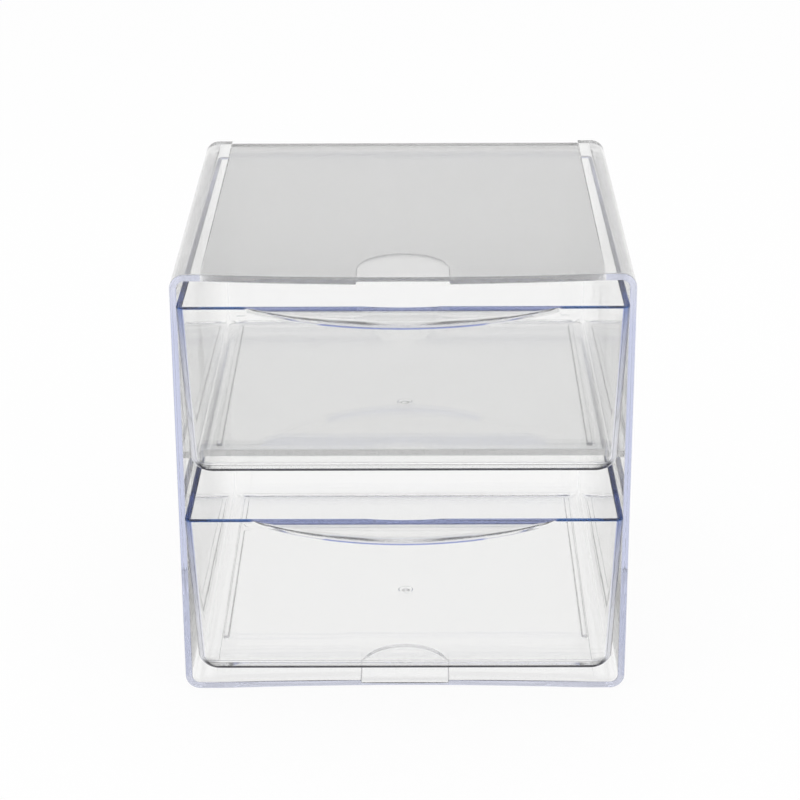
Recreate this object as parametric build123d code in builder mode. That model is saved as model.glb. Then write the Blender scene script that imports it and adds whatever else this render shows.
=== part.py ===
"""A clear plastic cube organiser: an open-fronted outer cube, a shelf across its middle
and two drawers, each with a crescent finger lip on its raked front.

Millimetres, +Z up, +X to the right and -Y towards the person who opens the drawers.
The origin is the middle of the whole object's footprint, at the height it stands on.
"""
from math import cos, radians, sin, tan
import os

from build123d import *

os.makedirs("parts", exist_ok=True)

# Outer cube
CUBE_WIDTH = 152.4
CUBE_HEIGHT = 152.4
CUBE_DEPTH = 155.6
CUBE_WALL = 2.3           # at the open front, and the thickness of the back
CUBE_DRAFT = 0.48         # degrees that each inside wall closes in towards the back
CUBE_CORNER = 5.0         # outside radius of the four long edges
CUBE_BACK_EDGE = 1.5      # outside radius round the closed back
STRIP_WIDTH = 10.2        # raised strip along each side of the top and of the bottom
TOP_BOW = 1.0             # sag of the top's outside at the middle of the front edge
CEILING_BOW = 1.3         # sag of its inside there
BOTTOM_BOW = 1.2          # rise of the bottom's outside at the middle of the front edge
FLOOR_BOW = 0.8           # rise of its inside there

# Finger notches in the inside faces of the top and the floor
NOTCH_WIDTH = 30.5
NOTCH_LENGTH = 25.4
NOTCH_DEPTH = 1.0

# Runner ribs that carry the drawers
RIB_WIDTH = 1.8
RIB_INSET = 9.5           # from the inside of the cube's front edge to the rib's middle
RIB_BACK_GAP = 5.0        # from the rib's end to the back wall
FLOOR_RIB_START = 31.3    # behind the cube's front edge
FLOOR_RIB_TOP = 3.65      # above the table, level although the floor rises to the back

# Middle shelf
SHELF_THICKNESS = 2.3
SHELF_TOP = 78.1          # above the table
SHELF_SETBACK = 26.4      # behind the cube's front edge
SHELF_RIB_SETBACK = 3.6   # from the shelf's front edge to its ribs
SHELF_RIB_HEIGHT = 1.0

# Drawers
DRAWER_HEIGHT = 65.4
DRAWER_WALL = 2.0
DRAWER_DRAFT = 1.0        # degrees of taper on the side walls and the back
DRAWER_SIDE_GAP = 0.65    # between the rim and the cube's side wall
DRAWER_RUN_GAP = 0.3      # between the underside and the ribs
DRAWER_BACK_GAP = 1.0     # between the rim and the cube's back wall
DRAWER_RIM_PROUD = 11.2   # rim in front of the cube
FRONT_RAKE = 15.8         # degrees that the front leans out from foot to rim
SIDE_EDGE_RADIUS = 5.5    # outside, along the foot of each side
FRONT_CORNER_RADIUS = 2.6  # outside, round the front and the back
INNER_CORNER_RADIUS = 0.6  # inside, round the front and the back

# Finger lip at the middle of each drawer's rim
LIP_WIDTH = 100.6
LIP_REACH = 15.6
LIP_THICKNESS = 1.7
LIP_EDGE_RADIUS = 0.6
LIP_ROOT_RADIUS = 2.3
THUMB_WIDTH = 25.5        # shallow round hollow inside the rim, behind the lip
THUMB_DEPTH = 1.0

# Places that follow
CUBE_FRONT = (DRAWER_RIM_PROUD + LIP_REACH - CUBE_DEPTH) / 2
CUBE_BACK = CUBE_FRONT + CUBE_DEPTH
INNER_BACK = CUBE_BACK - CUBE_WALL
INNER_HALF = CUBE_WIDTH / 2 - CUBE_WALL
INNER_CORNER = CUBE_CORNER - CUBE_WALL
CEILING = CUBE_HEIGHT - CUBE_WALL
PANEL_HALF = CUBE_WIDTH / 2 - STRIP_WIDTH
BACK_DRAFT = CUBE_DEPTH * tan(radians(CUBE_DRAFT))
RIB_X = INNER_HALF - RIB_INSET
RIB_END = INNER_BACK - RIB_BACK_GAP
SHELF_FRONT = CUBE_FRONT + SHELF_SETBACK
RIM_FRONT = CUBE_FRONT - DRAWER_RIM_PROUD
RIM_BACK = INNER_BACK - DRAWER_BACK_GAP
COVER = 0.5               # how far joining and cutting solids run past a face


def draft_at(y):
    """How far an inside wall of the cube has closed in at depth y."""
    return (y - CUBE_FRONT) * tan(radians(CUBE_DRAFT))


def panel_recess(level, outside, bow):
    """What lies between a panel and its raised strips: at the front edge an arc of height
    `bow` from `level`, at the back a flat step that follows the draft inside. `outside`
    is 1 where the recess opens upwards and -1 where it opens downwards."""
    cover = level + outside * COVER
    step = level - outside * BACK_DRAFT
    with BuildPart() as recess:
        with BuildSketch(Plane.XZ.offset(-CUBE_FRONT)):
            with BuildLine():
                Line((-PANEL_HALF, cover), (PANEL_HALF, cover))
                Line((PANEL_HALF, cover), (PANEL_HALF, level))
                ThreePointArc((PANEL_HALF, level), (0, level - outside * bow), (-PANEL_HALF, level))
                Line((-PANEL_HALF, level), (-PANEL_HALF, cover))
            make_face()
        with BuildSketch(Plane.XZ.offset(-CUBE_BACK)):
            with BuildLine():
                Line((-PANEL_HALF, cover), (PANEL_HALF, cover))
                Line((PANEL_HALF, cover), (PANEL_HALF, step))
                Line((PANEL_HALF, step), (-PANEL_HALF, step))
                Line((-PANEL_HALF, step), (-PANEL_HALF, cover))
            make_face()
        loft(ruled=True)
    return recess.part


def cavity_outline(y, ceiling_bow, floor_bow):
    """The inside of the cube at depth y: a rounded square drawn in by the draft, whose top
    and bottom edges bow inwards between the strips."""
    drawn_in = draft_at(y)
    half = INNER_HALF - drawn_in
    low = CUBE_WALL + drawn_in
    high = CEILING - drawn_in
    corner = half - INNER_CORNER
    with BuildSketch(Plane.XZ.offset(-y)) as outline:
        with BuildLine():
            Line((-corner, low), (-PANEL_HALF, low))
            if floor_bow:
                ThreePointArc((-PANEL_HALF, low), (0, low + floor_bow), (PANEL_HALF, low))
            else:
                Line((-PANEL_HALF, low), (PANEL_HALF, low))
            Line((PANEL_HALF, low), (corner, low))
            RadiusArc((corner, low), (half, low + INNER_CORNER), -INNER_CORNER)
            Line((half, low + INNER_CORNER), (half, high - INNER_CORNER))
            RadiusArc((half, high - INNER_CORNER), (corner, high), -INNER_CORNER)
            Line((corner, high), (PANEL_HALF, high))
            if ceiling_bow:
                ThreePointArc((PANEL_HALF, high), (0, high - ceiling_bow), (-PANEL_HALF, high))
            else:
                Line((PANEL_HALF, high), (-PANEL_HALF, high))
            Line((-PANEL_HALF, high), (-corner, high))
            RadiusArc((-corner, high), (-half, high - INNER_CORNER), -INNER_CORNER)
            Line((-half, high - INNER_CORNER), (-half, low + INNER_CORNER))
            RadiusArc((-half, low + INNER_CORNER), (-corner, low), -INNER_CORNER)
        make_face()
    return outline.sketch


def finger_notch(level, depth):
    """A slot open at the cube's front edge with a full-radius end, from `level` over
    `depth` (downwards where that is negative)."""
    with BuildPart() as notch:
        with BuildSketch(Plane.XY.offset(level)):
            with Locations((0, CUBE_FRONT + NOTCH_LENGTH - NOTCH_WIDTH / 2)):
                Circle(NOTCH_WIDTH / 2)
                Rectangle(NOTCH_WIDTH, NOTCH_LENGTH, align=(Align.CENTER, Align.MAX))
        extrude(amount=depth)
    return notch.part


def runner_ribs(bottom, top, start):
    """Two round-ended ribs from `bottom` to `top`, running from `start` back to RIB_END."""
    length = RIB_END - start
    with BuildPart() as ribs:
        with BuildSketch(Plane.XY.offset(bottom)):
            with Locations((-RIB_X, start + length / 2), (RIB_X, start + length / 2)):
                SlotOverall(length, RIB_WIDTH, rotation=90)
        extrude(amount=top - bottom)
    return ribs.part


with BuildPart() as cavity:
    add(cavity_outline(CUBE_FRONT, CEILING_BOW, FLOOR_BOW))
    add(cavity_outline(INNER_BACK, 0, 0))
    loft(ruled=True)

# Outer cube: one moulding, open at the front and closed at the back
with BuildPart() as outer_cube:
    with BuildSketch(Plane.XZ.offset(-CUBE_FRONT)):
        with Locations((0, CUBE_HEIGHT / 2)):
            RectangleRounded(CUBE_WIDTH, CUBE_HEIGHT, CUBE_CORNER)
    extrude(amount=-CUBE_DEPTH)
    fillet(outer_cube.faces().sort_by(Axis.Y)[-1].edges(), CUBE_BACK_EDGE)
    add(panel_recess(CUBE_HEIGHT, 1, TOP_BOW), mode=Mode.SUBTRACT)
    add(panel_recess(0, -1, BOTTOM_BOW), mode=Mode.SUBTRACT)
    add(cavity.part, mode=Mode.SUBTRACT)
    add(finger_notch(CEILING - CEILING_BOW - COVER, NOTCH_DEPTH + COVER), mode=Mode.SUBTRACT)
    add(finger_notch(CUBE_WALL + FLOOR_BOW + COVER, -NOTCH_DEPTH - COVER), mode=Mode.SUBTRACT)
    add(runner_ribs(CUBE_WALL, FLOOR_RIB_TOP, CUBE_FRONT + FLOOR_RIB_START))
outer_cube.part.label = "outer_cube"
export_step(outer_cube.part, "parts/outer_cube.step")

# Middle shelf: a panel bonded between the side walls and against the back
shelf_front_half = INNER_HALF - draft_at(SHELF_FRONT)
shelf_back_half = INNER_HALF - draft_at(INNER_BACK)
with BuildPart() as middle_shelf:
    with BuildSketch(Plane.XY.offset(SHELF_TOP - SHELF_THICKNESS)):
        with BuildLine():
            Polyline(
                (-shelf_front_half, SHELF_FRONT),
                (shelf_front_half, SHELF_FRONT),
                (shelf_back_half, INNER_BACK),
                (-shelf_back_half, INNER_BACK),
                close=True,
            )
        make_face()
    extrude(amount=SHELF_THICKNESS)
    add(runner_ribs(SHELF_TOP - COVER, SHELF_TOP + SHELF_RIB_HEIGHT, SHELF_FRONT + SHELF_RIB_SETBACK))
middle_shelf.part.label = "middle_shelf"
export_step(middle_shelf.part, "parts/middle_shelf.step")


def tub(foot, inset, floor, top, edge_radius, corner_radius):
    """The body of a drawer whose underside is at `foot`, or with an `inset` the hollow in
    it: flat from `floor` up to `top`, drafted at the sides and the back, raked in front
    and, like the cube's inside, narrower at the back."""
    rim = foot + DRAWER_HEIGHT
    draft = tan(radians(DRAWER_DRAFT))
    rake = tan(radians(FRONT_RAKE))
    front_inset = inset / cos(radians(FRONT_RAKE))
    front_top = RIM_FRONT - (top - rim) * rake + front_inset
    front_floor = RIM_FRONT - (floor - rim) * rake + front_inset
    back_top = RIM_BACK + (top - rim) * draft - inset
    back_floor = RIM_BACK + (floor - rim) * draft - inset
    with BuildPart() as body:
        for y in (front_top, back_top):
            half_rim = INNER_HALF - DRAWER_SIDE_GAP - draft_at(y) - inset
            half_top = half_rim + (top - rim) * draft
            half_floor = half_rim + (floor - rim) * draft
            with BuildSketch(Plane.XZ.offset(-y)) as section:
                with BuildLine():
                    Polyline(
                        (-half_floor, floor),
                        (half_floor, floor),
                        (half_top, top),
                        (-half_top, top),
                        close=True,
                    )
                make_face()
                fillet(section.vertices().group_by(Axis.Y)[0], edge_radius)
        loft(ruled=True)
        with BuildSketch(Plane.YZ):
            with BuildLine():
                Polyline(
                    (front_floor, floor), (back_floor, floor), (back_top, top), (front_top, top), close=True
                )
            make_face()
        extrude(amount=CUBE_WIDTH, both=True, mode=Mode.INTERSECT)
        ends = body.faces().sort_by(Axis.Y)[0].edges() + body.faces().sort_by(Axis.Y)[-1].edges()
        fillet(ends.filter_by(lambda edge: edge.center().Z < top - COVER / 2), corner_radius)
    return body.part


def finger_lip(rim):
    """The crescent at the rim: a round-edged plate over a concave root that runs down the
    raked front."""
    rake = tan(radians(FRONT_RAKE))
    under = rim - LIP_THICKNESS
    root_low = under - 2 * LIP_ROOT_RADIUS
    front_at_under = RIM_FRONT + LIP_THICKNESS * rake
    front_at_root = RIM_FRONT + (rim - root_low) * rake
    tip = RIM_FRONT - LIP_REACH
    inside = DRAWER_WALL / 2
    with BuildPart() as lip:
        with BuildSketch(Plane.XY.offset(root_low)):
            with BuildLine():
                ThreePointArc((-LIP_WIDTH / 2, RIM_FRONT), (0, tip), (LIP_WIDTH / 2, RIM_FRONT))
                Polyline(
                    (LIP_WIDTH / 2, RIM_FRONT),
                    (LIP_WIDTH / 2, front_at_root + inside),
                    (-LIP_WIDTH / 2, front_at_root + inside),
                    (-LIP_WIDTH / 2, RIM_FRONT),
                )
            make_face()
        extrude(amount=rim - root_low)
        with BuildSketch(Plane.YZ):
            with BuildLine():
                FilletPolyline(
                    (tip - COVER, under), (front_at_under, under), (front_at_root, root_low),
                    radius=LIP_ROOT_RADIUS,
                )
                Polyline(
                    (front_at_root, root_low),
                    (front_at_root + inside, root_low),
                    (RIM_FRONT + inside, rim),
                    (tip - COVER, rim),
                    (tip - COVER, under),
                )
            make_face()
        extrude(amount=LIP_WIDTH, both=True, mode=Mode.INTERSECT)
        fillet(lip.faces().sort_by(Axis.Y)[0].edges().filter_by(GeomType.CIRCLE), LIP_EDGE_RADIUS)
    return lip.part


def thumb_hollow(rim):
    """A ball that scoops a shallow round hollow from the inside of the raked wall, centred
    on the rim."""
    radius = (THUMB_WIDTH**2 / 4 + THUMB_DEPTH**2) / (2 * THUMB_DEPTH)
    rake = radians(FRONT_RAKE)
    inner_face = RIM_FRONT + DRAWER_WALL / cos(rake)
    centre = (0, inner_face + (radius - THUMB_DEPTH) * cos(rake), rim + (radius - THUMB_DEPTH) * sin(rake))
    with BuildPart() as ball:
        with Locations(centre):
            Sphere(radius)
    return ball.part


# Drawers: two alike, one on the floor's ribs and one on the shelf's
drawer_feet = {
    "lower_drawer": FLOOR_RIB_TOP + DRAWER_RUN_GAP,
    "upper_drawer": SHELF_TOP + SHELF_RIB_HEIGHT + DRAWER_RUN_GAP,
}
for drawer_name, foot in drawer_feet.items():
    rim = foot + DRAWER_HEIGHT
    inner_edge_radius = SIDE_EDGE_RADIUS - DRAWER_WALL
    body = tub(foot, 0, foot, rim, SIDE_EDGE_RADIUS, FRONT_CORNER_RADIUS)
    hollow = tub(foot, DRAWER_WALL, foot + DRAWER_WALL, rim + COVER, inner_edge_radius, INNER_CORNER_RADIUS)
    with BuildPart() as drawer:
        add(body)
        add(finger_lip(rim))
        add(hollow, mode=Mode.SUBTRACT)
        add(thumb_hollow(rim), mode=Mode.SUBTRACT)
    drawer.part.label = drawer_name
    export_step(drawer.part, f"parts/{drawer_name}.step")
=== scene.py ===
"""A clear plastic cube organiser with two drawers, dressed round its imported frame.

Metres, +Z up, +X to the right and -Y towards the person who opens the drawers.
"""

import bmesh
import bpy
import numpy as np
from mathutils import Matrix, Vector


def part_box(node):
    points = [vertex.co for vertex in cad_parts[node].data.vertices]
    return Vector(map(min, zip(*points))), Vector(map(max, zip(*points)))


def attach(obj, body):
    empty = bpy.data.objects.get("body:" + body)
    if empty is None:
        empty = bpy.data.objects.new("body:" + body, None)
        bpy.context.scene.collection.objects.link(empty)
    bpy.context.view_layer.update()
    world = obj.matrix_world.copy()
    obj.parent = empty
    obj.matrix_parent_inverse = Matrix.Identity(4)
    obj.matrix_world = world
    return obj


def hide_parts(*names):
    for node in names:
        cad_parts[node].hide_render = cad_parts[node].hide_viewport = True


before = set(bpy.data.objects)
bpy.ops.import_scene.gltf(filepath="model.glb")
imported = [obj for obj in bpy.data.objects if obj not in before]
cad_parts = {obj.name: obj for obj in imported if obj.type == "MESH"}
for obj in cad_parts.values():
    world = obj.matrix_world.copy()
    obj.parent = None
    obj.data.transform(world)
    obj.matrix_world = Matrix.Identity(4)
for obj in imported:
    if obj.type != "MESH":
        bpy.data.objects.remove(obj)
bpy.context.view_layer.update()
scene = bpy.context.scene


# ---------------------------------------------------------------- camera
# The photograph's view: from a little above, almost square to the front, through a long
# lens. The angles and the place were fitted to the object's edges.
PITCH = 0.38863            # radians below the horizon
YAW = -0.00855
ROLL = -0.00574
FOCAL_PIXELS = 2448.3      # in a picture 800 pixels wide
PICTURE_WIDTH = 800
SENSOR = 36.0              # millimetres across, for which the lens is worked out
CAMERA_PLACE = Vector((0.00526, -0.81521, 0.41577))

forward = Vector((np.sin(YAW) * np.cos(PITCH), np.cos(YAW) * np.cos(PITCH), -np.sin(PITCH)))
level_right = Vector((np.cos(YAW), -np.sin(YAW), 0))
level_up = level_right.cross(forward)
right = np.cos(ROLL) * level_right + np.sin(ROLL) * level_up
up = np.cos(ROLL) * level_up - np.sin(ROLL) * level_right
camera = bpy.data.objects.new("camera", bpy.data.cameras.new("camera"))
scene.collection.objects.link(camera)
camera.data.sensor_width = SENSOR
camera.data.lens = FOCAL_PIXELS / PICTURE_WIDTH * SENSOR
facing = Matrix((right, up, -forward)).transposed().to_4x4()
camera.matrix_world = Matrix.Translation(CAMERA_PLACE) @ facing
scene.camera = camera
scene.view_settings.view_transform = "Standard"

# Clear plastic seen edge on is a long chain of inside reflections.
INSIDE_BOUNCES = 48
scene.cycles.max_bounces = INSIDE_BOUNCES
scene.cycles.transmission_bounces = INSIDE_BOUNCES
scene.cycles.glossy_bounces = INSIDE_BOUNCES
scene.cycles.diffuse_bounces = 3


# ---------------------------------------------------------------- studio
# A white floor in a white room. Both show white to the camera. The floor keeps part of the
# object's shadow, and in reflections and through the plastic the room is darker overhead,
# behind the camera and a little to the sides, which draws the lines in clear plastic.
FLOOR_HALF = 4.0
FLOOR_DROP = 0.0003        # keeps the floor off the cube's underside
FLOOR_COLOUR = (0.9, 0.9, 0.9, 1)
FLOOR_GLOW = 0.94          # the share of plain white in what a look at the floor shows
ROOM_DARK = 0.62           # how bright the room's darkest part is
ROOM_FILL = 0.8            # how strongly the room lights the object
ROOM_WHITE = 1.25          # the strength at which the room's pale grey is white
OVERHEAD = (0.46, 0.82)    # where the dark sets in and is full, as parts of a unit direction
BEHIND = (0.25, 0.7)
SIDES = (0.55, 0.85)
SIDES_SHARE = 0.2
LAMP_AIM = Vector((0, 0, 0.08))


def figure(tree, operation, *values):
    """The output of one Math node, fed with sockets or plain numbers."""
    node = tree.nodes.new("ShaderNodeMath")
    node.operation = operation
    for socket, value in zip(node.inputs, values):
        if isinstance(value, bpy.types.NodeSocket):
            tree.links.new(value, socket)
        else:
            socket.default_value = value
    return node.outputs[0]


def rise_between(tree, value, start, end):
    """Nought below `start`, one above `end`, and a smooth step between them."""
    node = tree.nodes.new("ShaderNodeMapRange")
    node.interpolation_type = "SMOOTHSTEP"
    node.inputs["From Min"].default_value = start
    node.inputs["From Max"].default_value = end
    tree.links.new(value, node.inputs["Value"])
    return node.outputs["Result"]


def seen_directly(tree):
    """One where a camera ray, a mirror ray or a ray through plastic looks, and nought
    where the surface only lights something: the largest of the three Light Path answers."""
    answers = tree.nodes.new("ShaderNodeLightPath").outputs
    looked_at = figure(tree, "MAXIMUM", answers["Is Camera Ray"], answers["Is Glossy Ray"])
    return figure(tree, "MAXIMUM", looked_at, answers["Is Transmission Ray"])


def either_way(tree, output, share, lit, looked_at):
    """Sends to the output a mix of two shaders: `looked_at` by the share, `lit` by the rest."""
    mix = tree.nodes.new("ShaderNodeMixShader")
    tree.links.new(share, mix.inputs["Fac"])
    tree.links.new(lit.outputs[0], mix.inputs[1])
    tree.links.new(looked_at.outputs[0], mix.inputs[2])
    tree.links.new(mix.outputs[0], output.inputs["Surface"])


floor_mesh = bpy.data.meshes.new("floor")
corners = np.array([[-1, -1], [1, -1], [1, 1], [-1, 1]]) * FLOOR_HALF
floor_mesh.from_pydata([(x, y, -FLOOR_DROP) for x, y in corners], [], [(0, 1, 2, 3)])
floor = bpy.data.objects.new("floor", floor_mesh)
scene.collection.objects.link(floor)

floor_paint = bpy.data.materials.new("floor_paint")
floor_paint.use_nodes = True
tree = floor_paint.node_tree
tree.nodes.clear()
output = tree.nodes.new("ShaderNodeOutputMaterial")
paint = tree.nodes.new("ShaderNodeBsdfDiffuse")
paint.inputs["Color"].default_value = FLOOR_COLOUR
glow = tree.nodes.new("ShaderNodeEmission")
either_way(tree, output, figure(tree, "MULTIPLY", seen_directly(tree), FLOOR_GLOW), paint, glow)
floor_mesh.materials.append(floor_paint)

world = bpy.data.worlds.new("room")
scene.world = world
world.use_nodes = True
tree = world.node_tree
tree.nodes.clear()
output = tree.nodes.new("ShaderNodeOutputWorld")
place = tree.nodes.new("ShaderNodeTexCoord")
split = tree.nodes.new("ShaderNodeSeparateXYZ")
tree.links.new(place.outputs["Generated"], split.inputs[0])
overhead = rise_between(tree, split.outputs["Z"], *OVERHEAD)
behind = rise_between(tree, figure(tree, "MULTIPLY", split.outputs["Y"], -1.0), *BEHIND)
sideways = rise_between(tree, figure(tree, "ABSOLUTE", split.outputs["X"]), *SIDES)
sideways = figure(tree, "MULTIPLY", sideways, SIDES_SHARE)
dark = figure(tree, "MAXIMUM", overhead, figure(tree, "MAXIMUM", sideways, behind))
shine = figure(tree, "SUBTRACT", 1.0, figure(tree, "MULTIPLY", dark, 1 - ROOM_DARK))
straight = tree.nodes.new("ShaderNodeLightPath").outputs["Is Camera Ray"]
straight = figure(tree, "MULTIPLY", straight, ROOM_WHITE)
seen = tree.nodes.new("ShaderNodeBackground")
tree.links.new(figure(tree, "MAXIMUM", shine, straight), seen.inputs["Strength"])
fill = tree.nodes.new("ShaderNodeBackground")
fill.inputs["Strength"].default_value = ROOM_FILL
either_way(tree, output, seen_directly(tree), fill, seen)

for lamp_name, spot, size, power in (
    ("lamp_over", (0.0, 0.1, 1.6), 1.2, 9.0),
    ("lamp_left", (-1.3, -0.9, 1.0), 0.8, 5.0),
    ("lamp_right", (1.3, -0.9, 1.0), 0.8, 5.0),
):
    lamp = bpy.data.objects.new(lamp_name, bpy.data.lights.new(lamp_name, "AREA"))
    lamp.data.size = size
    lamp.data.energy = power
    lamp.location = spot
    lamp.rotation_euler = (LAMP_AIM - Vector(spot)).to_track_quat("-Z", "Y").to_euler()
    lamp.visible_camera = False
    scene.collection.objects.link(lamp)


# ---------------------------------------------------------------- outer cube
# One clear plastic moulding, open in front: level strips along each side of its top and
# bottom, a frosted panel between the top ones, finger notches at the front edge, and two
# ribs on its floor.
MM = 0.001                 # a millimetre, in which the lengths below are given
low, high = (np.array(corner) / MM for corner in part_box("outer_cube"))
CUBE_FRONT = low[1]
CUBE_BACK = high[1]
CUBE_HEIGHT = high[2]
CUBE_HALF = high[0]
CUBE_WALL = 2.3
CUBE_CORNER = 5.0
CUBE_BACK_EDGE = 1.5
CUBE_DRAFT = np.tan(np.radians(0.48))
PANEL_HALF = CUBE_HALF - 10.2
TOP_BOW = 1.0
CEILING_BOW = 1.3
BOTTOM_BOW = 1.2
FLOOR_BOW = 0.8
NOTCH_RADIUS = 15.25
NOTCH_LENGTH = 25.4
NOTCH_CEILING = CUBE_HEIGHT - CUBE_WALL - CEILING_BOW + 1.0
NOTCH_FLOOR = CUBE_WALL + FLOOR_BOW - 1.0
NOTCH_SIDE = 12.0          # the mesh's rows straighten out again this far beside a notch
NOTCH_BEHIND = 24.6        # and this far behind it
RIB_MIDDLE = 64.4
RIB_HALF = 0.9
RIB_START = CUBE_FRONT + 31.3
RIB_END = CUBE_BACK - CUBE_WALL - 5.0
RIB_TOP = 3.65
MOULD_EDGE = 0.3           # the small radius on every edge of the mouldings
TOP_ZONE = CUBE_HEIGHT - 6  # above this a point belongs to the top
FLOOR_ZONE = 5.0           # and below this to the floor
CORNER_X = CUBE_HALF - CUBE_CORNER  # the corners' arcs start here
INNER_HALF = CUBE_HALF - CUBE_WALL
INNER_CORNER = CUBE_CORNER - CUBE_WALL
INNER_BACK = CUBE_BACK - CUBE_WALL
CREASE = 0.1               # half the width in plan of the step beside the panel
RIB_CREASE = 0.22          # of a rib's side, which the mould drafts and rounds
NOTCH_CREASE = 0.15        # and of a notch's wall
ARC_STEPS = 26
SIDE_STEPS = 12
MERGE = 0.002              # points this near each other become one
SHARP = np.radians(30)     # faces that meet at more than this keep a sharp edge
HAIR = 0.01                # moves a limit off the points that would lie on it
CLEAR = np.ones(3)
# Painted light: the lavender that light run along the cube's walls shows at the front edge's cut
# face, painted on as colour.
CUT_PAINTED_LIGHT = np.array([0.50, 0.53, 0.72])
CUT_TOP_PALER = 0.8        # this share of it is missing in the middle of the top
CUT_SIDE_DEEPER = 0.3      # and this share is added along the sides
# Painted shade: grey on the notches' walls and the ribs' sides, drawing the dark lines that their
# bending surfaces show.
NOTCH_PAINTED_SHADE = np.array([0.66, 0.66, 0.69])
RIB_PAINTED_SHADE = np.array([0.24, 0.24, 0.28])
ROUNDED_FROST = 0.5        # how frosted the rounded edges beside the top are


def smooth(value):
    """The cubic 3t^2 - 2t^3 of the value held between nought and one."""
    t = np.clip(value, 0, 1)
    return t * t * (3 - 2 * t)


def mirrored(half):
    """The list and its mirror image about nought, in rising order."""
    half = np.asarray(half, float)
    return np.concatenate([-half[::-1], half[half > 0]])


def bow(x, rise):
    """The height at x of an arc that rises from nought at the strips to `rise` in the
    middle: sqrt(r^2 - x^2) - (r - rise), with the radius r that passes through all three."""
    radius = (PANEL_HALF**2 + rise**2) / (2 * rise)
    inside = np.clip(np.abs(x), 0, PANEL_HALF)
    return np.sqrt(radius**2 - inside**2) - (radius - rise)


def rib_cover(x, y, start, end):
    """One on a round-ended rib and nought off it: the distance to the rib's middle line,
    turned into a smooth step at the rib's half width."""
    along = np.maximum(0, np.maximum(start + RIB_HALF - y, y - end + RIB_HALF))
    away = np.hypot(np.abs(x) - RIB_MIDDLE, along) - RIB_HALF
    return 1 - smooth((away + RIB_CREASE) / (2 * RIB_CREASE))


def painted_towards(shares, colour):
    """White turned towards the colour by each share: 1 + share * (colour - 1)."""
    return CLEAR + np.asarray(shares, float)[..., None] * (colour - CLEAR)


def closed_surface(name, rows):
    """A closed mesh from rows, each a ring of equally many points and its painted light: quads
    join each ring to the next, a fan to its middle closes the first and the last, and points
    that meet are merged. The painted light is blue where light run along the walls comes out,
    and dark where bending surfaces show dark lines."""
    rings = np.array([ring for ring, painted_light in rows])
    painted_colours = np.array([np.broadcast_to(painted_light, ring.shape) for ring, painted_light in rows])
    count, around = rings.shape[:2]
    points = np.concatenate([rings.reshape(-1, 3), rings[[0, -1]].mean(axis=1)]) * MM
    painted_colours = np.concatenate([painted_colours.reshape(-1, 3), painted_colours[[0, -1], 0]])
    ring = np.arange(count - 1)[:, None] * around
    step = np.arange(around)
    ahead = (step + 1) % around
    quads = np.stack([ring + step, ring + ahead, ring + around + ahead, ring + around + step], -1)
    last = (count - 1) * around
    first_fan = np.stack([np.full(around, count * around), ahead, step], -1)
    last_fan = np.stack([np.full(around, count * around + 1), last + step, last + ahead], -1)
    mesh = bpy.data.meshes.new(name)
    faces = quads.reshape(-1, 4).tolist() + first_fan.tolist() + last_fan.tolist()
    mesh.from_pydata(points.tolist(), [], faces)
    # Painted light and shade: the colour painted on each point, kept as an attribute that the
    # shader reads.
    layer = mesh.attributes.new("painted_light", "FLOAT_COLOR", "POINT")
    layer.data.foreach_set("color", np.insert(painted_colours, 3, 1, axis=1).ravel())
    cleaner = bmesh.new()
    cleaner.from_mesh(mesh)
    bmesh.ops.remove_doubles(cleaner, verts=cleaner.verts, dist=MM * MERGE)
    bmesh.ops.recalc_face_normals(cleaner, faces=cleaner.faces)
    cleaner.to_mesh(mesh)
    cleaner.free()
    mesh.shade_smooth()
    mesh.set_sharp_from_angle(angle=SHARP)
    piece = bpy.data.objects.new(name, mesh)
    scene.collection.objects.link(piece)
    return piece


def frost(piece, where):
    """Marks how frosted each point of a piece is, from nought to one: `where(x, y, z)`, in
    millimetres, gives it."""
    points = np.empty(len(piece.data.vertices) * 3)
    piece.data.vertices.foreach_get("co", points)
    layer = piece.data.attributes.new("frost", "FLOAT", "POINT")
    layer.data.foreach_set("value", where(*points.reshape(-1, 3).T / MM).astype(np.float32))


rib_wall = RIB_HALF + RIB_CREASE * np.linspace(-1, 1, 7)
rib_columns = RIB_MIDDLE + mirrored(np.concatenate([[0, 0.4], rib_wall, [1.3]]))
step_columns = PANEL_HALF + np.array([-CREASE, CREASE, 0.2])
wide_columns = mirrored(np.concatenate([
    (NOTCH_RADIUS - NOTCH_CREASE) * np.sin(np.linspace(0, np.pi / 2, 20)),
    NOTCH_RADIUS + NOTCH_CREASE * np.array([1, 2, 5]),
    NOTCH_RADIUS + np.array([2.5, 5.0, 8.0, NOTCH_SIDE]),
    [33, 40, 48, 56, 61],
    rib_columns,
    step_columns,
    [67.2, 68.5, 70.0, CORNER_X],
]))
row_bend = np.where(
    np.abs(wide_columns) < NOTCH_RADIUS,
    np.sqrt(np.maximum(0, NOTCH_RADIUS**2 - wide_columns**2)) - NOTCH_RADIUS,
    -NOTCH_RADIUS * (1 - smooth((np.abs(wide_columns) - NOTCH_RADIUS) / NOTCH_SIDE)),
)


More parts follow.
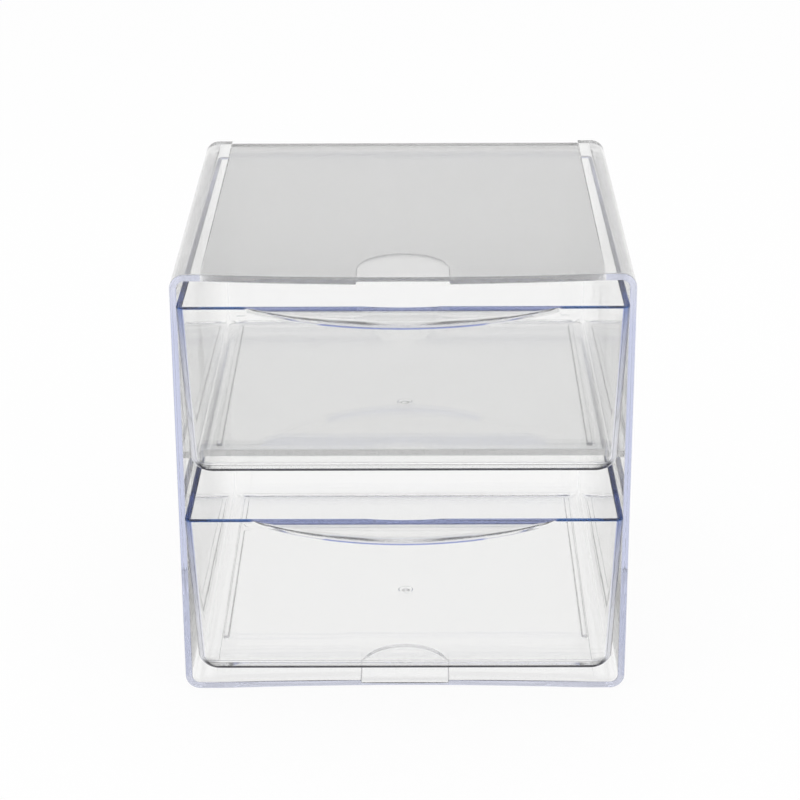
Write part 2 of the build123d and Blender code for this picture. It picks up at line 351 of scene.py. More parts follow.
def cube_section(half, bottom, top, corner, drop, rise):
    """A rounded square: its top lies `drop(x, bend)` below `top`, its bottom
    `rise(x, bend)` above `bottom`, its corners are arcs and its sides straight. Columns
    outside the strips' inner edges spread to meet the corner arcs. Bend is how far a full
    bend would move a column's points to the front, to follow the notches' round ends."""
    inset = CORNER_X - (half - corner)
    reach = np.clip((np.abs(wide_columns) - PANEL_HALF - 1) / (CORNER_X - PANEL_HALF - 1), 0, 1)
    x = wide_columns - np.sign(wide_columns) * reach * inset
    turn = np.linspace(0, np.pi / 2, ARC_STEPS)[1:-1]
    side = np.linspace(0, 1, SIDE_STEPS)
    side_z = top - corner + (bottom - top + 2 * corner) * side
    arc_x, arc_z = half - corner + corner * np.sin(turn), corner * np.cos(turn)
    parts = [
        (x, top - drop(x, row_bend), row_bend),
        (arc_x, top - corner + arc_z, 0 * turn),
        (np.full(SIDE_STEPS, half), side_z, 0 * side),
        (arc_x[::-1], bottom + corner - arc_z[::-1], 0 * turn),
        (x[::-1], bottom + rise(x[::-1], row_bend[::-1]), row_bend[::-1]),
        (-arc_x, bottom + corner - arc_z, 0 * turn),
        (np.full(SIDE_STEPS, -half), side_z[::-1], 0 * side),
        (-arc_x[::-1], top - corner + arc_z[::-1], 0 * turn),
    ]
    return (np.concatenate(part) for part in zip(*parts))


def outside_ring(y, inset):
    """The outside of the cube at depth y, drawn in by `inset` all round. Between the
    strips the panel bows at the front and steps down by the draft towards the back."""
    back_share = np.clip((y - CUBE_FRONT) / (CUBE_BACK - CUBE_FRONT), 0, 1)
    fall = CUBE_DRAFT * (CUBE_BACK - CUBE_FRONT) * back_share

    def panel(arc):
        """How deep a panel with this bow lies below the strips, as a function of x."""
        def depth(x, _):
            edge = smooth((PANEL_HALF + CREASE - np.abs(x)) / (2 * CREASE))
            return np.maximum(edge * fall + bow(x, arc) * (1 - back_share), inset) - inset
        return depth

    xs, zs, _ = cube_section(
        CUBE_HALF - inset, inset, CUBE_HEIGHT - inset, CUBE_CORNER - inset,
        panel(TOP_BOW), panel(BOTTOM_BOW),
    )
    return np.stack([xs, np.full_like(xs, y), zs], -1)


def inside_ring(row, outset):
    """The inside of the cube at `row` behind the front edge, moved outwards by `outset`.
    Rows bend round the notches: by nothing at the front edge, by the notch's own arc where
    it ends, and by nothing again further back."""
    settled = 1 - smooth((row - NOTCH_LENGTH) / NOTCH_BEHIND)
    share = np.where(row < NOTCH_LENGTH, row / NOTCH_LENGTH, settled)
    base = row * CUBE_DRAFT

    def level(arc, notch):
        """How far a surface with this bow lies in from the walls' line: by the draft and
        the bow, which flattens towards the back, and by `notch` in the notch."""
        def height(x, bend):
            along = row + bend * share
            flatter = 1 - np.clip(along / (INNER_BACK - CUBE_FRONT), 0, 1)
            plain = along * CUBE_DRAFT + bow(x, arc) * flatter
            in_notch = (row < NOTCH_LENGTH) & (np.abs(x) < NOTCH_RADIUS)
            return np.where(in_notch, notch, plain) - base
        return height

    ceiling = level(CEILING_BOW, CUBE_HEIGHT - CUBE_WALL - NOTCH_CEILING)
    ground = level(FLOOR_BOW, NOTCH_FLOOR - CUBE_WALL)

    def ribbed(x, bend):
        """The floor raised to the ribs' top by their cover."""
        plain = ground(x, bend)
        cover = rib_cover(x, CUBE_FRONT + row + bend * share, RIB_START, RIB_END)
        return plain + cover * np.maximum(0, RIB_TOP - CUBE_WALL - base - plain)

    xs, zs, bends = cube_section(
        INNER_HALF - base + outset, CUBE_WALL + base - outset,
        CUBE_HEIGHT - CUBE_WALL - base + outset, INNER_CORNER + outset, ceiling, ribbed,
    )
    return np.stack([xs, CUBE_FRONT + row + bends * share, zs], -1)


def inside_painted_shade(row, ring):
    """The painted shade of the same row: grey painted on the notches' walls and on the ribs'
    sides, where 4c(1 - c) of a rib's cover c rises to one and falls again."""
    x, y, z = ring.T
    level = (z > TOP_ZONE) | (z < FLOOR_ZONE)
    end_wall = (np.abs(row - NOTCH_LENGTH) < 1.5 * NOTCH_CREASE) & (np.abs(x) < NOTCH_RADIUS)
    side_wall = (row < NOTCH_LENGTH) & (np.abs(np.abs(x) - NOTCH_RADIUS) < 1.5 * NOTCH_CREASE)
    cover = rib_cover(x, y, RIB_START, RIB_END) * (z < FLOOR_ZONE)
    return painted_towards(level & (end_wall | side_wall), NOTCH_PAINTED_SHADE) * painted_towards(4 * cover * (1 - cover), RIB_PAINTED_SHADE)


def cut_painted_light(ring):
    """The painted light on the front edge's cut face: lavender painted deeper where light run along
    the walls would have come further.
    """
    x, y, z = ring.T
    top = (np.abs(x) < PANEL_HALF) & (z > TOP_ZONE)
    side = (np.abs(x) > CORNER_X) & (z > CUBE_CORNER) & (z < CUBE_HEIGHT - CUBE_CORNER)
    return painted_towards(1 - CUT_TOP_PALER * top + CUT_SIDE_DEEPER * side, CUT_PAINTED_LIGHT)


def shrunk(ring, share):
    """The ring drawn in towards the middle of its bounding box, in its own plane."""
    middle = (ring.min(axis=0) + ring.max(axis=0)) / 2
    return middle + (ring - middle) * share


round_turn = np.linspace(0, np.pi / 2, 5)
rib_rows = np.array([-0.4, -0.22, -0.12, 0, 0.08, 0.16, 0.26, 0.4, 0.6, 0.85, 1.2])
inner_rows = np.concatenate([
    [0.8, 2.5, 5.0, 8.0, 11.5, 15.0, 18.5, 21.5, 24.0],
    NOTCH_LENGTH + NOTCH_CREASE * np.array([-2, -1, 1, 2, 8, 20]),
    RIB_START - CUBE_FRONT + rib_rows,
    [35, 39, 44, 50, 60, 75, 92, 110, 128, 142],
    RIB_END - CUBE_FRONT - rib_rows[::-1],
    [150.5, 152.4],
])
back_outside = outside_ring(CUBE_BACK, CUBE_BACK_EDGE)
cube_rows = [(shrunk(back_outside, share), CLEAR) for share in (0.1, 0.5, 0.9)]
for angle in np.linspace(np.pi / 2, 0, 8):
    edge = (CUBE_BACK - CUBE_BACK_EDGE * (1 - np.sin(angle)), CUBE_BACK_EDGE * (1 - np.cos(angle)))
    cube_rows.append((outside_ring(*edge), CLEAR))
outer_rows = np.linspace(CUBE_BACK - CUBE_BACK_EDGE, CUBE_FRONT + 1, 14)[1:]
for y in np.append(outer_rows, CUBE_FRONT + MOULD_EDGE):
    cube_rows.append((outside_ring(y, 0), CLEAR))
for angle in round_turn[1:]:
    edge = (CUBE_FRONT + MOULD_EDGE * (1 - np.sin(angle)), MOULD_EDGE * (1 - np.cos(angle)))
    ring = outside_ring(*edge)
    cube_rows.append((ring, cut_painted_light(ring)))
for angle in round_turn[:0:-1]:
    ring = inside_ring(MOULD_EDGE * (1 - np.sin(angle)), MOULD_EDGE * (1 - np.cos(angle)))
    cube_rows.append((ring, cut_painted_light(ring)))
for row in np.insert(inner_rows, 0, MOULD_EDGE):
    ring = inside_ring(row, 0)
    cube_rows.append((ring, inside_painted_shade(row, ring)))
for angle in round_turn[1:]:
    row = INNER_BACK - CUBE_FRONT - MOULD_EDGE * (1 - np.sin(angle))
    cube_rows.append((inside_ring(row, -MOULD_EDGE * (1 - np.cos(angle))), CLEAR))
cube_rows += [(shrunk(cube_rows[-1][0], share), CLEAR) for share in (0.9, 0.5, 0.1)]
outer_cube = closed_surface("cube_shell", cube_rows)
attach(outer_cube, "cube")
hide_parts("outer_cube")


def on_panel(x, y, z):
    """One on the top panel between the strips, on its upper face and on its under one but
    for the notch, and a share on the rounded edges beside the strips."""
    notch_middle = CUBE_FRONT + NOTCH_LENGTH - NOTCH_RADIUS
    in_notch = np.hypot(x, np.maximum(0, y - notch_middle)) < NOTCH_RADIUS + NOTCH_CREASE / 2
    above = z > NOTCH_CEILING + 0.5
    below = (z > TOP_ZONE) & (z < NOTCH_CEILING + 0.5) & ~in_notch & (y < INNER_BACK - 0.5)
    panel = (np.abs(x) < PANEL_HALF) & (y > CUBE_FRONT + MOULD_EDGE - HAIR) & (above | below)
    rounded = (np.abs(x) > CORNER_X + HAIR) & (z > CUBE_HEIGHT - CUBE_CORNER - HAIR)
    return panel + ROUNDED_FROST * rounded


frost(outer_cube, on_panel)


TONE = (0.990, 0.990, 0.988)
PATCH_SCALE = 45.0         # of the haze, in patches to the metre
PATCH_SPAN = (0.35, 0.7)   # the part of the haze's noise that is spread from clear to hazed
PIT_SPAN = (0.62, 0.38)    # the part of the tooth's noise that is spread from no pit to a pit


def moulding_group():
    """The marks of moulding that every piece shares. Tint is the plastic's colour under the
    painted light and shade, and under the painted shade in the grain's pits. Wander is a slow
    swell, as of plastic that froze while it flowed. Haze is a faint patchy roughness, as of
    handling, which turns into the even one of an etched mould where the piece is frosted.
    Grain is that mould's fine tooth."""
    group = bpy.data.node_groups.new("moulding", "ShaderNodeTree")
    face = group.interface
    colour = face.new_socket("Plastic", in_out="INPUT", socket_type="NodeSocketColor")
    colour.default_value = (*TONE, 1)
    for name, start in (
        ("Wander Scale", 22.0), ("Grain Scale", 1200.0), ("Grain Shade", 0.0),
        ("Clear", 0.01), ("Hazed", 0.03), ("Frosted", 0.2),
    ):
        face.new_socket(name, in_out="INPUT", socket_type="NodeSocketFloat").default_value = start
    face.new_socket("Tint", in_out="OUTPUT", socket_type="NodeSocketColor")
    for name in ("Wander", "Haze", "Grain"):
        face.new_socket(name, in_out="OUTPUT", socket_type="NodeSocketFloat")
    inside = group.nodes.new("NodeGroupInput")
    outside = group.nodes.new("NodeGroupOutput")
    where = group.nodes.new("ShaderNodeTexCoord")
    noises = {}
    for name, detail in (("swell", 1.0), ("patches", 4.0), ("tooth", 3.0)):
        noises[name] = group.nodes.new("ShaderNodeTexNoise")
        noises[name].inputs["Detail"].default_value = detail
        group.links.new(where.outputs["Object"], noises[name].inputs["Vector"])
    noises["patches"].inputs["Scale"].default_value = PATCH_SCALE
    group.links.new(inside.outputs["Wander Scale"], noises["swell"].inputs["Scale"])
    group.links.new(inside.outputs["Grain Scale"], noises["tooth"].inputs["Scale"])
    spread = group.nodes.new("ShaderNodeMapRange")
    spread.inputs["From Min"].default_value, spread.inputs["From Max"].default_value = PATCH_SPAN
    group.links.new(noises["patches"].outputs[0], spread.inputs["Value"])
    group.links.new(inside.outputs["Clear"], spread.inputs["To Min"])
    group.links.new(inside.outputs["Hazed"], spread.inputs["To Max"])
    frosted = group.nodes.new("ShaderNodeAttribute")
    frosted.attribute_name = "frost"
    haze = group.nodes.new("ShaderNodeMix")
    group.links.new(frosted.outputs["Fac"], haze.inputs["Factor"])
    group.links.new(spread.outputs[0], haze.inputs["A"])
    group.links.new(inside.outputs["Frosted"], haze.inputs["B"])
    # Painted light and shade: the colour painted on each point, multiplied into the plastic's
    # colour.
    painted_light = group.nodes.new("ShaderNodeAttribute")
    painted_light.attribute_name = "painted_light"
    # Painted shade: the frosted tooth's pits darken the colour by the grain shade.
    pits = rise_between(group, noises["tooth"].outputs[0], *PIT_SPAN)
    pits = figure(group, "MULTIPLY", pits, frosted.outputs["Fac"])
    darkened = figure(group, "MULTIPLY", pits, inside.outputs["Grain Shade"])
    shade = figure(group, "SUBTRACT", 1.0, darkened)
    tint = inside.outputs["Plastic"]
    for factor in (painted_light.outputs["Color"], shade):
        product = group.nodes.new("ShaderNodeMix")
        product.data_type = "RGBA"
        product.blend_type = "MULTIPLY"
        product.inputs["Factor"].default_value = 1.0
        group.links.new(tint, product.inputs["A"])
        group.links.new(factor, product.inputs["B"])
        tint = product.outputs["Result"]
    group.links.new(tint, outside.inputs["Tint"])
    group.links.new(noises["swell"].outputs[0], outside.inputs["Wander"])
    group.links.new(haze.outputs[0], outside.inputs["Haze"])
    grain = figure(group, "MULTIPLY", noises["tooth"].outputs[0], frosted.outputs["Fac"])
    group.links.new(grain, outside.inputs["Grain"])
    return group


MOULDING = moulding_group()
PLASTIC_IOR = 1.58
SWELL_DEPTH = 0.00015      # metres
SWELL_SHARE = 0.5          # of which this much is used


def plastic(name, tone=TONE, clear=0.01, hazed=0.03, frosted=0.2, tooth_depth=0.0, shade=0.0):
    """Clear plastic with frosted places: a glass-like shader, its surface swelling slightly,
    hazed from `clear` to `hazed` or frosted. A frosted place has a tooth this deep in
    metres, with this much painted shade in its pits."""
    material = bpy.data.materials.new(name)
    material.use_nodes = True
    nodes = material.node_tree.nodes
    links = material.node_tree.links
    shader = nodes["Principled BSDF"]
    shader.inputs["Transmission Weight"].default_value = 1.0
    shader.inputs["IOR"].default_value = PLASTIC_IOR
    marks = nodes.new("ShaderNodeGroup")
    marks.node_tree = MOULDING
    for socket, value in (
        ("Plastic", (*tone, 1)), ("Clear", clear), ("Hazed", hazed), ("Frosted", frosted),
        ("Grain Shade", shade),
    ):
        marks.inputs[socket].default_value = value
    swell = nodes.new("ShaderNodeBump")
    swell.inputs["Distance"].default_value = SWELL_DEPTH
    swell.inputs["Strength"].default_value = SWELL_SHARE
    links.new(marks.outputs["Wander"], swell.inputs["Height"])
    normal = swell.outputs["Normal"]
    if tooth_depth:
        tooth = nodes.new("ShaderNodeBump")
        tooth.inputs["Distance"].default_value = tooth_depth
        links.new(marks.outputs["Grain"], tooth.inputs["Height"])
        links.new(normal, tooth.inputs["Normal"])
        normal = tooth.outputs["Normal"]
    links.new(marks.outputs["Tint"], shader.inputs["Base Color"])
    links.new(marks.outputs["Haze"], shader.inputs["Roughness"])
    links.new(normal, shader.inputs["Normal"])
    return material


outer_cube.data.materials.append(
    plastic("clear_cube", frosted=0.25, tooth_depth=0.00003, shade=0.04)
)


# ---------------------------------------------------------------- middle shelf
# A clear plastic panel across the cube, set back from its front edge and frosted
# underneath. Its two ribs carry the upper drawer. It is drawn a hair short of the walls
# that it is fixed to.
low, high = (np.array(corner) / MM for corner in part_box("middle_shelf"))
SHELF_FRONT = low[1]
SHELF_BOTTOM = low[2]
SHELF_RIB_TOP = high[2]
SHELF_TOP = SHELF_RIB_TOP - 1.0
SHELF_RIB_START = SHELF_FRONT + 3.6
SHELF_GAP = 0.12
SHELF_OUTERMOST = 72.0     # the last column, before it is moved to the shelf's half width
shelf_columns = mirrored(
    np.concatenate([[0, 20, 40, 56, 61], rib_columns, [67.5, 70.0, SHELF_OUTERMOST]])
)
shelf_rows = np.concatenate([
    [SHELF_FRONT + MOULD_EDGE, SHELF_FRONT + 1.5],
    SHELF_RIB_START + rib_rows,
    np.linspace(SHELF_RIB_START + 5, RIB_END - 5, 8),
    RIB_END - rib_rows[::-1],
    [RIB_END + 2.0, INNER_BACK - SHELF_GAP - MOULD_EDGE],
])


def shelf_section(column):
    """One slice of the shelf, and its painted shade, grey on the ribs' sides: along the top
    from front to back, round the back edge, along the bottom, and round the front edge. Columns
    outside the ribs follow the half width, which narrows with the cube's draft."""
    turn = np.linspace(-np.pi / 2, np.pi / 2, 7)[1:-1]
    back = INNER_BACK - SHELF_GAP - MOULD_EDGE
    middle = (SHELF_TOP + SHELF_BOTTOM) / 2
    thick = (SHELF_TOP - SHELF_BOTTOM) / 2
    edge_z = middle + (thick - MOULD_EDGE) * np.sign(turn) + MOULD_EDGE * np.sin(turn)
    y = np.concatenate([
        shelf_rows, back + MOULD_EDGE * np.cos(turn),
        shelf_rows[::-1], SHELF_FRONT + MOULD_EDGE * (1 - np.cos(turn)),
    ])
    half = INNER_HALF - SHELF_GAP - (y - CUBE_FRONT) * CUBE_DRAFT
    moved = np.sign(column) * (half + np.abs(column) - SHELF_OUTERMOST)
    x = np.where(np.abs(column) > RIB_MIDDLE + 2, moved, column)
    cover = rib_cover(x, y, SHELF_RIB_START, RIB_END)
    cover[len(shelf_rows):] = 0
    top = SHELF_TOP + cover[: len(shelf_rows)] * (SHELF_RIB_TOP - SHELF_TOP)
    z = np.concatenate([top, edge_z[::-1], np.full(len(shelf_rows), SHELF_BOTTOM), edge_z])
    return np.stack([x, y, z], -1), painted_towards(4 * cover * (1 - cover), RIB_PAINTED_SHADE)


middle_shelf = closed_surface("shelf_panel", [shelf_section(column) for column in shelf_columns])
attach(middle_shelf, "cube")
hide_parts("middle_shelf")
frost(middle_shelf, lambda x, y, z: z < SHELF_BOTTOM + HAIR)
middle_shelf.data.materials.append(plastic(
    "clear_shelf", tone=(0.945, 0.950, 0.953), clear=0.02, hazed=0.05,
    frosted=0.22, tooth_depth=0.00002, shade=0.14,
))


# ---------------------------------------------------------------- drawers
# Two alike, moulded in clear plastic and loose on the ribs: a tub drafted all round, its
# front raked out to a crescent finger lip with a thumb hollow behind it, and the mark of
# the mould's gate under its floor. The deep blue of light that has run along its walls is
# painted on as colour, and so is the shade of its dark lines.
DRAWER_WALL = 2.0
SIDE_GAP = 0.65
DRAWER_DRAFT = np.tan(np.radians(1.0))
RAKE = np.radians(15.8)
FOOT_RADIUS = 5.5
FOOT_END_RADIUS = 0.3      # along the foot's front and back
INNER_FOOT_END = 1.6       # and inside them
FOOT_LINE = 1.1            # the height of the painted shade line along the front of the foot
CORNER_LINE_TOP = 5.4      # its height at the corners, below which it sets in gradually
CORNER_LINE_RISE = 2.5
CORNER_LINE_TURN = 0.9     # how far it turns the corners, in radians, fading likewise
CORNER_LINE_FADE = 0.5
END_RADIUS = 2.6           # of the corners in plan
INNER_END_RADIUS = 0.6
LIP_HALF = 50.3
LIP_REACH = 15.6
LIP_ARC = (LIP_HALF**2 + LIP_REACH**2) / (2 * LIP_REACH)  # the crescent's radius
LIP_THICKNESS = 1.7
LIP_EDGE = 0.6
LIP_ROOT = 2.3
ROOT_FULL = 4.0            # the reach from which the root has its whole radius
EDGE_FULL = 1.5            # the same for the edge
UPRIGHT = 2.0              # and from which the edge stands upright
LEAST_ROUND = 0.02         # the share of a radius that is left at the lip's ends
LIP_BAND = 2.7             # the width of the painted blue band of light over the wall
LIP_HAZE = 0.8             # how frosted the lip's outer edge is
LIP_HAZE_WIDTH = 0.65
TIP_SHARE = 0.55           # the part of the lip's width whose outer edge is painted blue
THUMB_HALF = 12.75
THUMB_DEPTH = 1.0
GATE_MIDDLE = np.array([0.0, 2.8])
GATE_RINGS = (             # radius, height above the foot, and whether it is a grey painted shade edge
    (3.2, 0.0, False), (2.75, 0.0, False), (2.6, 0.12, True), (2.4, 0.3, False),
    (1.0, 0.3, False), (0.8, 0.2, True), (0.65, 0.05, True), (0.3, 0.05, True),
)
# Painted light: the deep blues in which light that has run along the walls comes out at the rim,
# the lip, the lip's tip and the front corners.
RIM_PAINTED_LIGHT = np.array([0.001, 0.020, 0.22])
RIM_FADE = 0.12            # how much less of it there is at the back
LIP_PAINTED_LIGHT = np.array([0.08, 0.11, 0.36])
TIP_PAINTED_LIGHT = np.array([0.14, 0.19, 0.58])
CORNER_PAINTED_LIGHT = np.array([0.06, 0.11, 0.42])
CORNER_FAINTEST = 0.25     # the share of it that is left at the foot
# Painted shade: near black for the dark line along the front of the foot.
FOOT_PAINTED_SHADE = np.array([0.004, 0.004, 0.006])
# Painted shade: grey on the gate mark's edges.
GATE_PAINTED_SHADE = np.array([0.45, 0.45, 0.47])

lip_columns = mirrored(np.concatenate([
    np.linspace(0, THUMB_HALF, 17), np.linspace(15, 45, 15),
    [46.5, 47.6, 48.5, 49.2, 49.8, LIP_HALF, 51.2, 54.0, 59.0, 64.0, 68.0],
]))
lipped = np.abs(lip_columns) <= LIP_HALF
side_shares = np.linspace(0, 1, 16)
back_shares = np.linspace(1, -1, 17)
corner_turn = np.linspace(0, np.pi / 2, 9)[1:-1]
corner_line = smooth((CORNER_LINE_TURN - corner_turn) / CORNER_LINE_FADE)
outline_count = len(lip_columns) + 4 * len(corner_turn) + 2 * len(side_shares) + len(back_shares)
front_part = slice(0, len(lip_columns))
right_corner = slice(len(lip_columns), len(lip_columns) + len(corner_turn))
left_corner = slice(outline_count - len(corner_turn), outline_count)
on_front, on_front_corner, on_lip = np.zeros((3, outline_count), bool)
on_front[front_part] = True
on_front_corner[right_corner] = on_front_corner[left_corner] = True
on_lip[front_part] = lipped
edge_line = np.zeros(outline_count)
edge_line[front_part] = np.abs(lip_columns) == lip_columns.max()
edge_line[right_corner], edge_line[left_corner] = corner_line, corner_line[::-1]


def tub_plan(rim, rim_front, rim_back, z, inset, side_inset, end_inset, corner):
    """The tub's outline at height z, a rectangle with round corners. Its front lies back by
    the fall below the rim times the rake's tangent, its sides and back come in by the fall
    times the draft. All are `inset` inside the outer faces, and further in by `side_inset`
    at the sides and `end_inset` at the front and back where the foot rounds."""
    fall = rim - z
    front = rim_front + fall * np.tan(RAKE) + inset / np.cos(RAKE) + end_inset
    back = rim_back - fall * DRAWER_DRAFT - inset - end_inset

    def half(y):
        """Half the width at depth y, which narrows with the cube."""
        drawn = (y - CUBE_FRONT) * CUBE_DRAFT + fall * DRAWER_DRAFT
        return INNER_HALF - SIDE_GAP - drawn - inset - side_inset

    near = half(front + corner) - corner
    far = half(back - corner) - corner
    outermost = lip_columns.max()
    reach = np.clip((np.abs(lip_columns) - LIP_HALF - 1) / (outermost - LIP_HALF - 1), 0, 1)
    front_x = lip_columns + np.sign(lip_columns) * reach * (near - outermost)
    side_y = front + corner + (back - front - 2 * corner) * side_shares
    side_x = half(side_y)
    sine, cosine = np.sin(corner_turn), np.cos(corner_turn)
    x = np.concatenate([
        front_x, near + corner * sine, side_x, far + corner * cosine,
        far * back_shares, -far - corner * sine, -side_x[::-1], -near - corner * cosine,
    ])
    y = np.concatenate([
        np.full_like(front_x, front), front + corner * (1 - cosine), side_y,
        back - corner * (1 - sine), np.full_like(back_shares, back), back - corner * (1 - cosine),
        side_y[::-1], front + corner * (1 - sine),
    ])
    return np.stack([x, y, np.full_like(x, z)], -1)


def lip_path(rim, rim_front, x):
    """The outside of the front wall at x from under the lip to the rim, as stations (y, z):
    up the concave root, out along the underside, round the two small edge radii, and back
    along the top, whose last two stations bound the painted blue band of light over the wall.
    The crescent's reach at x is a circle's arc, nought at the lip's ends, where the radii
    shrink with it and the edge leans back into the raked wall."""
    reach = np.sqrt(LIP_ARC**2 - x**2) - (LIP_ARC - LIP_REACH)
    root = LIP_ROOT * np.clip(reach / ROOT_FULL, LEAST_ROUND, 1)
    edge = LIP_EDGE * np.clip(reach / EDGE_FULL, LEAST_ROUND, 1)
    lean = np.tan(RAKE) * (1 - np.clip(reach / UPRIGHT, 0, 1))
    under = rim - LIP_THICKNESS
    corner_y = rim_front + LIP_THICKNESS * np.tan(RAKE)
    tangent = root / np.tan((np.pi / 2 + RAKE) / 2)
    tip = rim_front - reach
    turn = np.linspace(RAKE, np.pi / 2, 8)[:, None]
    root_y = corner_y - tangent + root * np.cos(turn)
    root_z = under - root + root * np.sin(turn)
    share = np.array([0.35, 0.7])[:, None]
    flat_start = corner_y - tangent
    flat_end = tip + edge + LIP_THICKNESS * lean
    flat_y = flat_start + (flat_end - flat_start) * share
    turn = np.linspace(0, np.pi / 2, 6)[:, None]
    low_z = under + edge * (1 - np.cos(turn))
    high_z = rim - edge * (1 - np.sin(turn))
    low_y = tip + edge * (1 - np.sin(turn)) + (rim - low_z) * lean
    high_y = tip + edge * (1 - np.cos(turn)) + (rim - high_z) * lean
    band = np.minimum(LIP_BAND, 0.6 * reach)
    band_end = rim_front - band - np.minimum(0.15, 0.05 * reach)
    share = np.array([0.35, 0.7, 1.0])[:, None]
    outer_y = tip + edge + (band_end - tip - edge) * share
    top_y = np.concatenate([outer_y, [rim_front - band, rim_front + 0 * band]])
    y = np.concatenate([root_y, flat_y, low_y, high_y, top_y])
    z = np.concatenate([root_z, under + 0 * flat_y, low_z, high_z, rim + 0 * top_y])
    on_tip = slice(len(root_y) + len(flat_y), len(root_y) + len(flat_y) + len(low_y))
    return y, z, on_tip, reach


def toward_circle(ring, middle, radius, z):
    """The ring's points moved onto a circle about `middle`, each at its own bearing."""
    away = ring[:, :2] - middle
    bearing = np.arctan2(away[:, 1], away[:, 0])
    x = middle[0] + radius * np.cos(bearing)
    y = middle[1] + radius * np.sin(bearing)
    return np.stack([x, y, np.full(len(ring), z)], -1)


def foot_round(level, side_radius, end_radius):
    """How far the foot's arcs draw in the sides and the ends at `level`: r less the square
    root of r^2 - (r - level)^2."""
    return [r - np.sqrt(r * r - (r - min(level, r)) ** 2) for r in (side_radius, end_radius)]


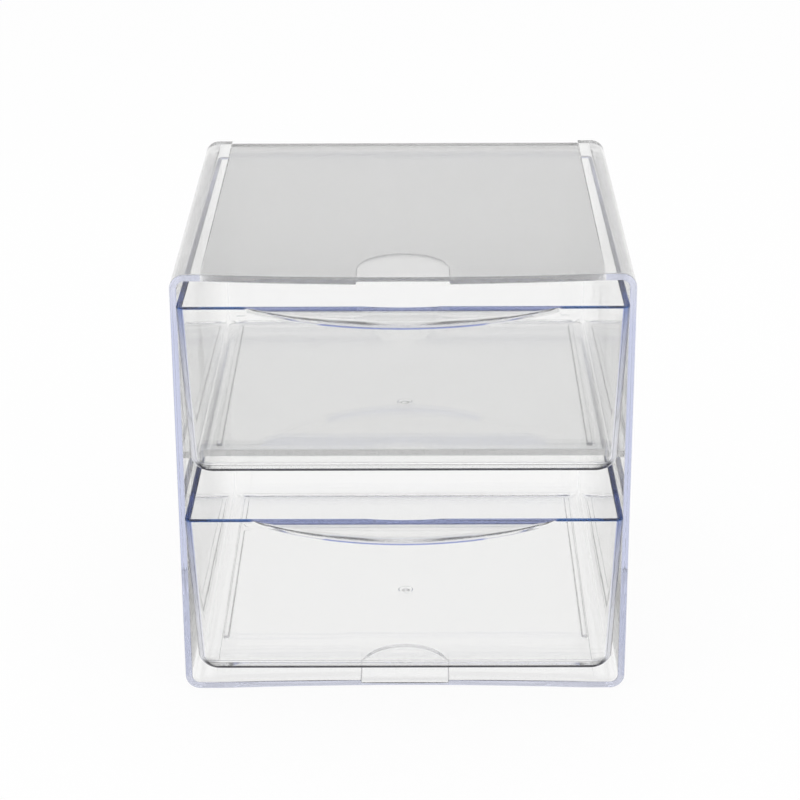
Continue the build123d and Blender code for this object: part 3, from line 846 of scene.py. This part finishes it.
def tub_rows(foot, rim, rim_front, rim_back):
    """Every ring of a drawer and its painted light, from the middle of its underside out, up
    the outside, over the rim and down the inside to the middle of its floor."""

    def plan(z, inset, side_inset=0.0, end_inset=0.0, corner=END_RADIUS):
        """This drawer's outline."""
        return tub_plan(rim, rim_front, rim_back, z, inset, side_inset, end_inset, corner)

    def corner_painted_light(z):
        """The front corners' painted light, a blue that deepens with the square of the height."""
        height = (z - foot) / (rim - foot)
        depth = CORNER_FAINTEST + (1 - CORNER_FAINTEST) * height**2
        return painted_towards(on_front_corner * depth, CORNER_PAINTED_LIGHT)

    rows = []
    foot_arc = FOOT_RADIUS * (1 - np.cos(np.linspace(0, np.pi / 2, 14)))
    for level in np.union1d(foot_arc, [0.015, 0.08, 0.3, 0.75]):
        # Painted shade: a near-black line along the front of the foot, rising and fading round the
        # corners.
        rise = smooth((CORNER_LINE_TOP - level) / CORNER_LINE_RISE)
        share = np.maximum(on_front * (level < FOOT_LINE), edge_line * rise)
        ring = plan(foot + level, 0, *foot_round(level, FOOT_RADIUS, FOOT_END_RADIUS))
        rows.append((ring, corner_painted_light(foot + level) * painted_towards(share, FOOT_PAINTED_SHADE)))
    sole = rows[0][0]
    under = [(shrunk(sole, share), CLEAR) for share in (0.994, 0.95, 0.65, 0.3)]
    # Painted shade: grey on the rings at the gate mark's edges.
    for radius, height, grey in GATE_RINGS:
        ring = toward_circle(sole, GATE_MIDDLE, radius, foot + height)
        under.append((ring, painted_towards(grey, GATE_PAINTED_SHADE)))
    path_y, path_z, on_tip, reach = lip_path(rim, rim_front, lip_columns[lipped])
    wall_top = rim - LIP_THICKNESS - LIP_ROOT
    wall_rows = np.linspace(foot + FOOT_RADIUS, wall_top - 0.5, 10)[1:]
    rows += [(plan(z, 0), corner_painted_light(z)) for z in wall_rows]
    for number, z in enumerate(np.linspace(wall_top, rim - MOULD_EDGE - 0.1, len(path_y))):
        ring = plan(z, 0)
        ring[on_lip, 1] = path_y[number]
        ring[on_lip, 2] = path_z[number]
        # Painted light: the blue band over the wall under the rim, and the blue outer edge of the
        # lip's tip.
        painted_light = corner_painted_light(z)
        if number >= len(path_y) - 2:
            painted_light = painted_light * painted_towards(on_lip, LIP_PAINTED_LIGHT)
        elif on_tip.start <= number < on_tip.stop:
            painted_light = painted_light * painted_towards(on_lip * (np.abs(ring[:, 0]) < TIP_SHARE * LIP_HALF), TIP_PAINTED_LIGHT)
        rows.append((ring, painted_light))
    # Painted light: deep blue along the rim, a little paler towards the back.
    run = (rows[-1][0][:, 1] - rim_front) / (rim_back - rim_front)
    rim_painted_light = painted_towards(~on_lip * (1 - RIM_FADE * run), RIM_PAINTED_LIGHT) * painted_towards(on_lip, LIP_PAINTED_LIGHT)
    for angle in round_turn:
        ring = plan(rim - MOULD_EDGE * (1 - np.sin(angle)), MOULD_EDGE * (1 - np.cos(angle)))
        ring[on_lip, 1] = rim_front + 0.05 + MOULD_EDGE * (1 - np.cos(angle))
        ring[on_lip, 2] = rim
        rows.append((ring, rim_painted_light))

    def inner(z, side_inset=0.0, end_inset=0.0, back_off=0.0):
        """The inside at height z, `back_off` outside its plain place. The thumb hollow is a
        ball's cap pressed into the front wall, as deep as sqrt(b^2 - d^2) - (b - depth) at
        d from its middle, with b the ball's radius, where that is more than nought."""
        ring = plan(z, DRAWER_WALL - back_off, side_inset, end_inset, INNER_END_RADIUS + back_off)
        ball = (THUMB_HALF**2 + THUMB_DEPTH**2) / (2 * THUMB_DEPTH)
        away = ring[on_front, 0] ** 2 + ((rim - z) / np.cos(RAKE)) ** 2
        scoop = np.sqrt(np.maximum(0, ball**2 - away)) - (ball - THUMB_DEPTH)
        ring[on_front, 1] -= np.maximum(0, scoop) / np.cos(RAKE)
        return ring

    for angle in round_turn[::-1]:
        down, out = MOULD_EDGE * (1 - np.sin(angle)), MOULD_EDGE * (1 - np.cos(angle))
        rows.append((inner(rim - down, back_off=out), rim_painted_light))
    floor_z = foot + DRAWER_WALL
    inner_foot = FOOT_RADIUS - DRAWER_WALL
    thumb_rows = rim - np.array([0.5, 1, 2.5, 4.5, 7, 9.5, 11.5, 13])
    lower_rows = np.linspace(rim - 18, floor_z + inner_foot, 8)
    rows += [(inner(z), CLEAR) for z in np.concatenate([thumb_rows, lower_rows])]
    for level in inner_foot * (1 - np.cos(np.linspace(np.pi / 2, 0, 12)))[1:]:
        rows.append((inner(floor_z + level, *foot_round(level, inner_foot, INNER_FOOT_END)), CLEAR))
    rows += [(shrunk(rows[-1][0], share), CLEAR) for share in (0.95, 0.65, 0.3, 0.04)]
    return under[::-1] + rows


drawer_plastic = plastic("clear_drawer")
for drawer_name in ("lower_drawer", "upper_drawer"):
    low, high = (np.array(corner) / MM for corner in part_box(drawer_name))
    rim_front = low[1] + LIP_REACH
    rows = tub_rows(low[2], high[2], rim_front, high[1])
    tub = closed_surface(drawer_name.replace("drawer", "tub"), rows)
    tub.data.materials.append(drawer_plastic)

    def lip_edge(x, y, z):
        """The haze of the lip's outer edge: what lies near the arc, in front of the rim."""
        near_arc = np.hypot(x, y - low[1] - LIP_ARC) > LIP_ARC - LIP_HAZE_WIDTH
        return LIP_HAZE * (near_arc & (y < rim_front - 0.5))

    frost(tub, lip_edge)
    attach(tub, drawer_name)
    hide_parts(drawer_name)
